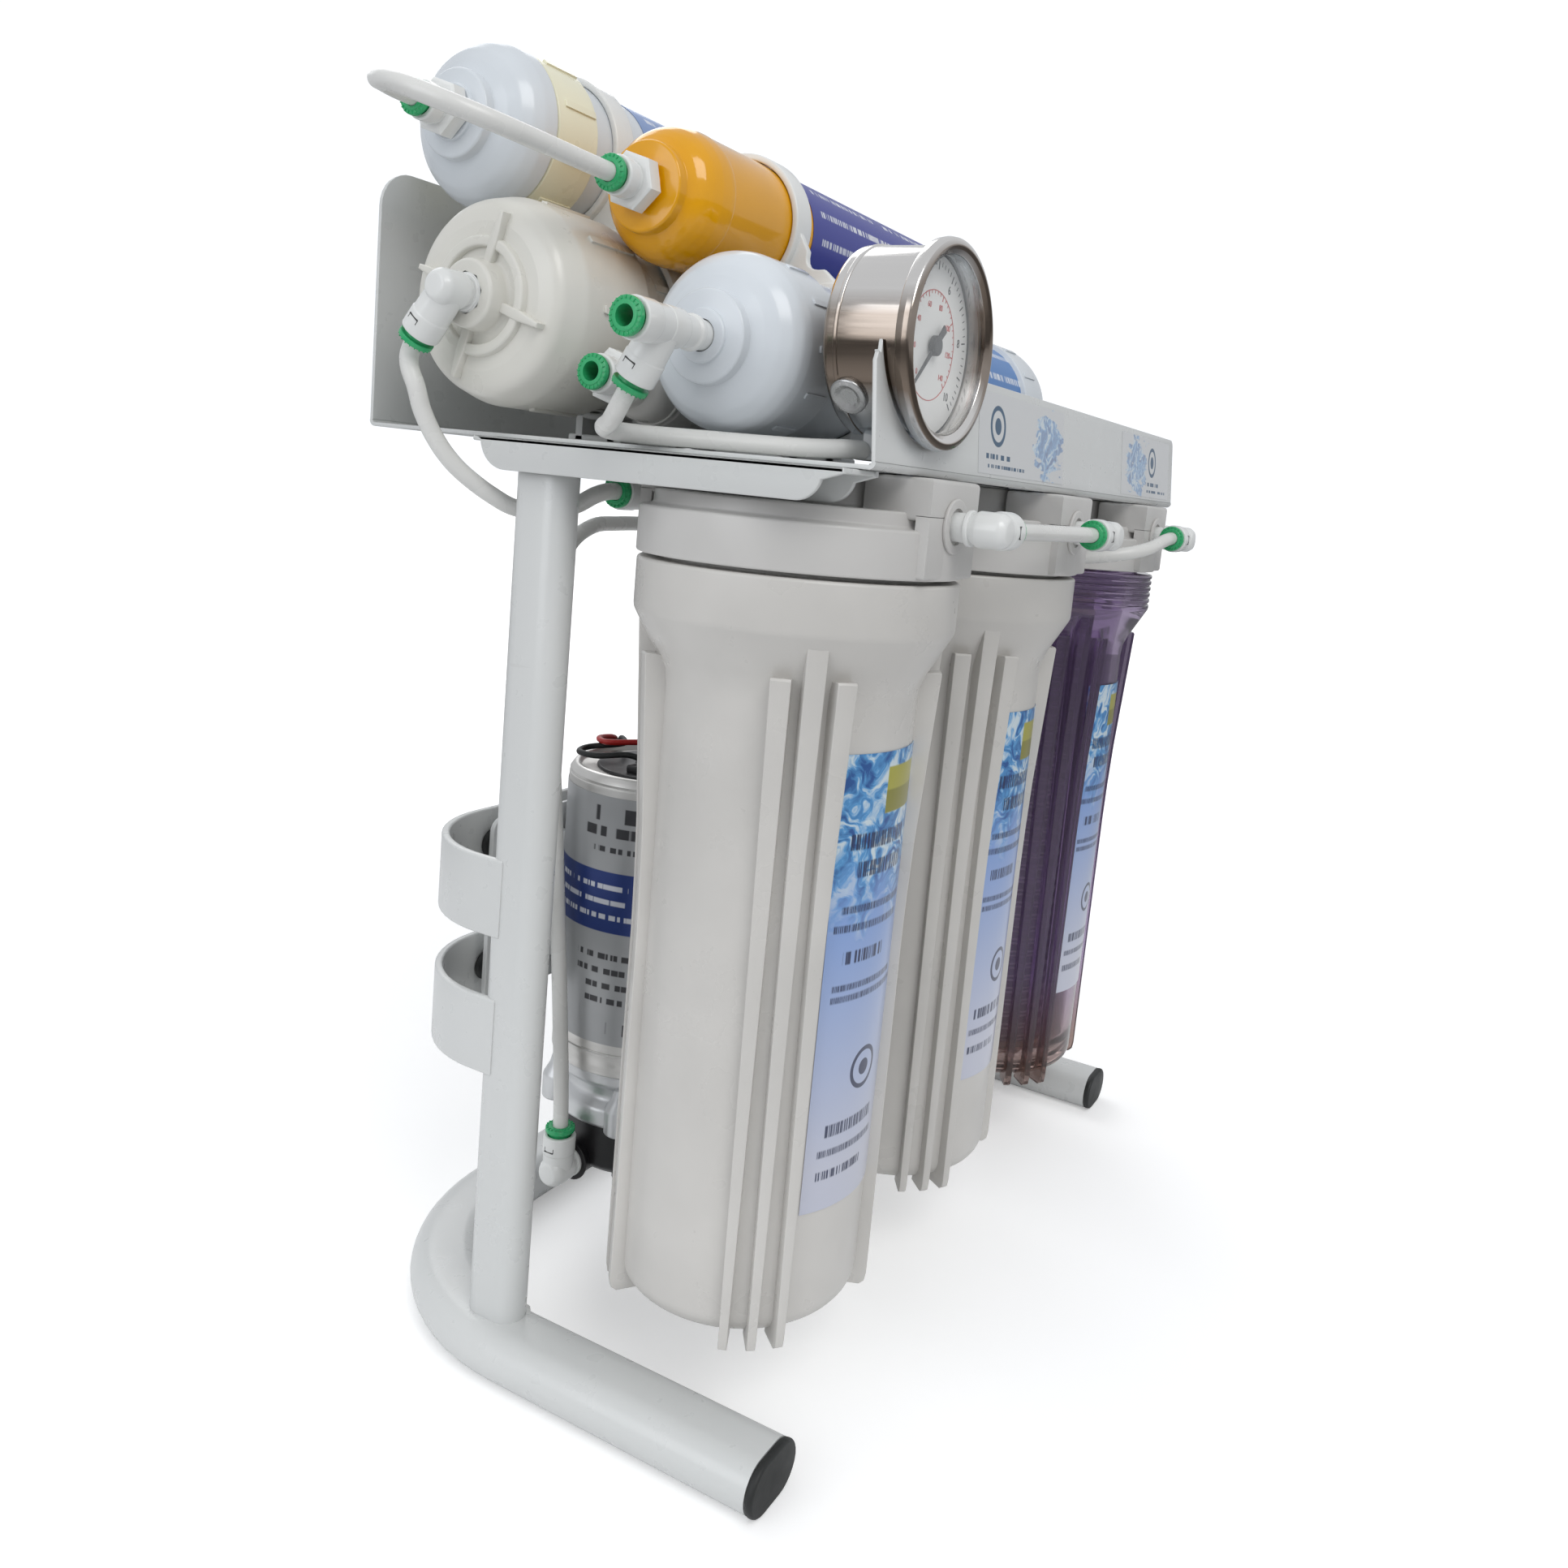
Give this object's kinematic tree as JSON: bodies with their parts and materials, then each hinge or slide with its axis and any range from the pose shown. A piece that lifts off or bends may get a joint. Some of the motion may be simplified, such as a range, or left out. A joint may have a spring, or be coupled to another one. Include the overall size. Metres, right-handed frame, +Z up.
{
  "type": "reverse osmosis unit",
  "caption": "Reverse osmosis unit: filter housings under a sheet tray on a welded stand, with in-line filters, a pressure gauge and a booster pump.",
  "frame": {"origin": "on the floor, under the middle of the rear rail of the stand", "axes": "+X along the row of housings towards the clear one, +Y to the back, +Z up; the housings and the gauge face -Y"},
  "size_m": [0.4522, 0.2468, 0.498],
  "materials": {
    "painted_steel": "white powder coat, semi-gloss",
    "white_plastic": "moulded, satin",
    "warm_plastic": "moulded, slightly cream, satin",
    "black_rubber": "matte",
    "smoky_plastic": "clear, purple tinted",
    "filter_media": "netted felt",
    "carbon_media": "pressed carbon",
    "membrane_wrap": "tape wrapped",
    "amber_plastic": "clear amber, glossy",
    "green_collet": "satin",
    "tubing": "smooth polyethylene",
    "stainless": "brushed",
    "lens_glass": "clear",
    "dial_white": "printed",
    "needle_black": "satin",
    "motor_steel": "rolled steel, satin",
    "cast_aluminium": "die cast",
    "black_plastic": "moulded, satin"
  },
  "bodies": {
    "root": {"stand_frame": "painted_steel", "foot_cap_left": "black_rubber", "foot_cap_right": "black_rubber", "tray": "painted_steel", "block_head": "white_plastic", "carbon_head": "white_plastic", "sediment_head": "white_plastic", "membrane_housing": "warm_plastic", "membrane_element": "membrane_wrap", "post_carbon_filter": "white_plastic", "mineral_filter": "amber_plastic", "polishing_filter": "warm_plastic", "capsule_filter": "white_plastic", "mineral_clip": "white_plastic", "polishing_clip": "white_plastic", "gauge_case": "stainless", "gauge_bezel": "stainless", "gauge_lens": "lens_glass", "gauge_dial": "dial_white", "pump_motor": "motor_steel", "pump_head": "cast_aluminium", "pump_valve_head": "black_plastic", "pump_bracket": "painted_steel", "block_front_elbow": "white_plastic", "carbon_front_elbow": "white_plastic", "sediment_front_elbow": "white_plastic", "block_rear_elbow": "white_plastic", "link_tube": "tubing", "crossover_tube": "tubing", "pump_outlet_elbow": "white_plastic", "pump_tube": "tubing", "membrane_elbow": "white_plastic", "membrane_tube": "tubing", "tee_fitting": "white_plastic", "gauge_tube": "tubing", "mineral_fitting": "white_plastic", "polishing_fitting": "white_plastic", "capsule_fitting": "white_plastic", "loop_tube": "tubing"},
    "block_seal_ring": {"block_seal": "black_rubber"},
    "block_sump_bowl": {"block_sump": "white_plastic", "block_cartridge": "carbon_media"},
    "carbon_seal_ring": {"carbon_seal": "black_rubber"},
    "carbon_sump_bowl": {"carbon_sump": "white_plastic", "carbon_cartridge": "carbon_media"},
    "sediment_seal_ring": {"sediment_seal": "black_rubber"},
    "sediment_sump_bowl": {"sediment_sump": "smoky_plastic", "sediment_cartridge": "filter_media"},
    "membrane_release": {"membrane_collet": "green_collet"},
    "tee_run_release": {"tee_run_collet": "green_collet"},
    "tee_branch_release": {"tee_branch_collet": "green_collet"},
    "mineral_release": {"mineral_collet": "green_collet"},
    "polishing_release": {"polishing_collet": "green_collet"},
    "capsule_release": {"capsule_collet": "green_collet"},
    "carbon_front_release": {"carbon_front_collet": "green_collet"},
    "sediment_front_release": {"sediment_front_collet": "green_collet"},
    "pump_outlet_release": {"pump_outlet_collet": "green_collet"},
    "needle": {"gauge_needle": "needle_black"},
    "membrane_screw_cap": {"membrane_cap": "warm_plastic"},
    "rotor": {"pump_rotor": "cast_aluminium"}
  },
  "joints": [
    {"name": "block_sump_drop", "type": "slide", "parent": "root", "child": "block_seal_ring", "axis": [0, 0, -1], "range_m": [0, 0.015]},
    {"name": "block_sump_unscrew", "type": "hinge", "parent": "block_seal_ring", "child": "block_sump_bowl", "pos_m": [-0.132, -0.147, 0.31], "axis": [0, 0, -1], "range_deg": [0, 1080]},
    {"name": "carbon_sump_drop", "type": "slide", "parent": "root", "child": "carbon_seal_ring", "axis": [0, 0, -1], "range_m": [0, 0.015]},
    {"name": "carbon_sump_unscrew", "type": "hinge", "parent": "carbon_seal_ring", "child": "carbon_sump_bowl", "pos_m": [0, -0.147, 0.31], "axis": [0, 0, -1], "range_deg": [0, 1080]},
    {"name": "sediment_sump_drop", "type": "slide", "parent": "root", "child": "sediment_seal_ring", "axis": [0, 0, -1], "range_m": [0, 0.015]},
    {"name": "sediment_sump_unscrew", "type": "hinge", "parent": "sediment_seal_ring", "child": "sediment_sump_bowl", "pos_m": [0.132, -0.147, 0.31], "axis": [0, 0, -1], "range_deg": [0, 1080]},
    {"name": "membrane_collet_press", "type": "slide", "parent": "root", "child": "membrane_release", "axis": [0, -0.6365, 0.7712], "range_m": [0, 0.0013]},
    {"name": "tee_run_collet_press", "type": "slide", "parent": "root", "child": "tee_run_release", "axis": [1, 0, 0], "range_m": [0, 0.0013]},
    {"name": "tee_branch_collet_press", "type": "slide", "parent": "root", "child": "tee_branch_release", "axis": [0, -0.5141, 0.8577], "range_m": [0, 0.0013]},
    {"name": "mineral_collet_press", "type": "slide", "parent": "root", "child": "mineral_release", "axis": [1, 0, 0], "range_m": [0, 0.0013]},
    {"name": "polishing_collet_press", "type": "slide", "parent": "root", "child": "polishing_release", "axis": [1, 0, 0], "range_m": [0, 0.0013]},
    {"name": "capsule_collet_press", "type": "slide", "parent": "root", "child": "capsule_release", "axis": [0.9988, 0, -0.049], "range_m": [0, 0.0013]},
    {"name": "carbon_front_collet_press", "type": "slide", "parent": "root", "child": "carbon_front_release", "axis": [1, 0, 0], "range_m": [0, 0.0013]},
    {"name": "sediment_front_collet_press", "type": "slide", "parent": "root", "child": "sediment_front_release", "axis": [1, 0, 0], "range_m": [0, 0.0013]},
    {"name": "pump_outlet_collet_press", "type": "slide", "parent": "root", "child": "pump_outlet_release", "axis": [0, 0, -1], "range_m": [0, 0.0013]},
    {"name": "needle_sweep", "type": "hinge", "parent": "root", "child": "needle", "pos_m": [-0.1463, -0.1985, 0.3986], "axis": [0, 1, 0], "range_deg": [0, 270]},
    {"name": "membrane_cap_unscrew", "type": "hinge", "parent": "root", "child": "membrane_screw_cap", "pos_m": [-0.175, -0.049, 0.403], "axis": [-1, 0, 0], "range_deg": [0, 1080]},
    {"name": "rotor_spin", "type": "hinge", "parent": "root", "child": "rotor", "pos_m": [-0.087, -0.063, 0.15], "axis": [0, 0, 1], "continuous": true}
  ],
  "couplings": [
    {"joint": "block_sump_drop", "follows": "block_sump_unscrew", "m_per_rad": 0.00079577},
    {"joint": "carbon_sump_drop", "follows": "carbon_sump_unscrew", "m_per_rad": 0.00079577},
    {"joint": "sediment_sump_drop", "follows": "sediment_sump_unscrew", "m_per_rad": 0.00079577}
  ]
}
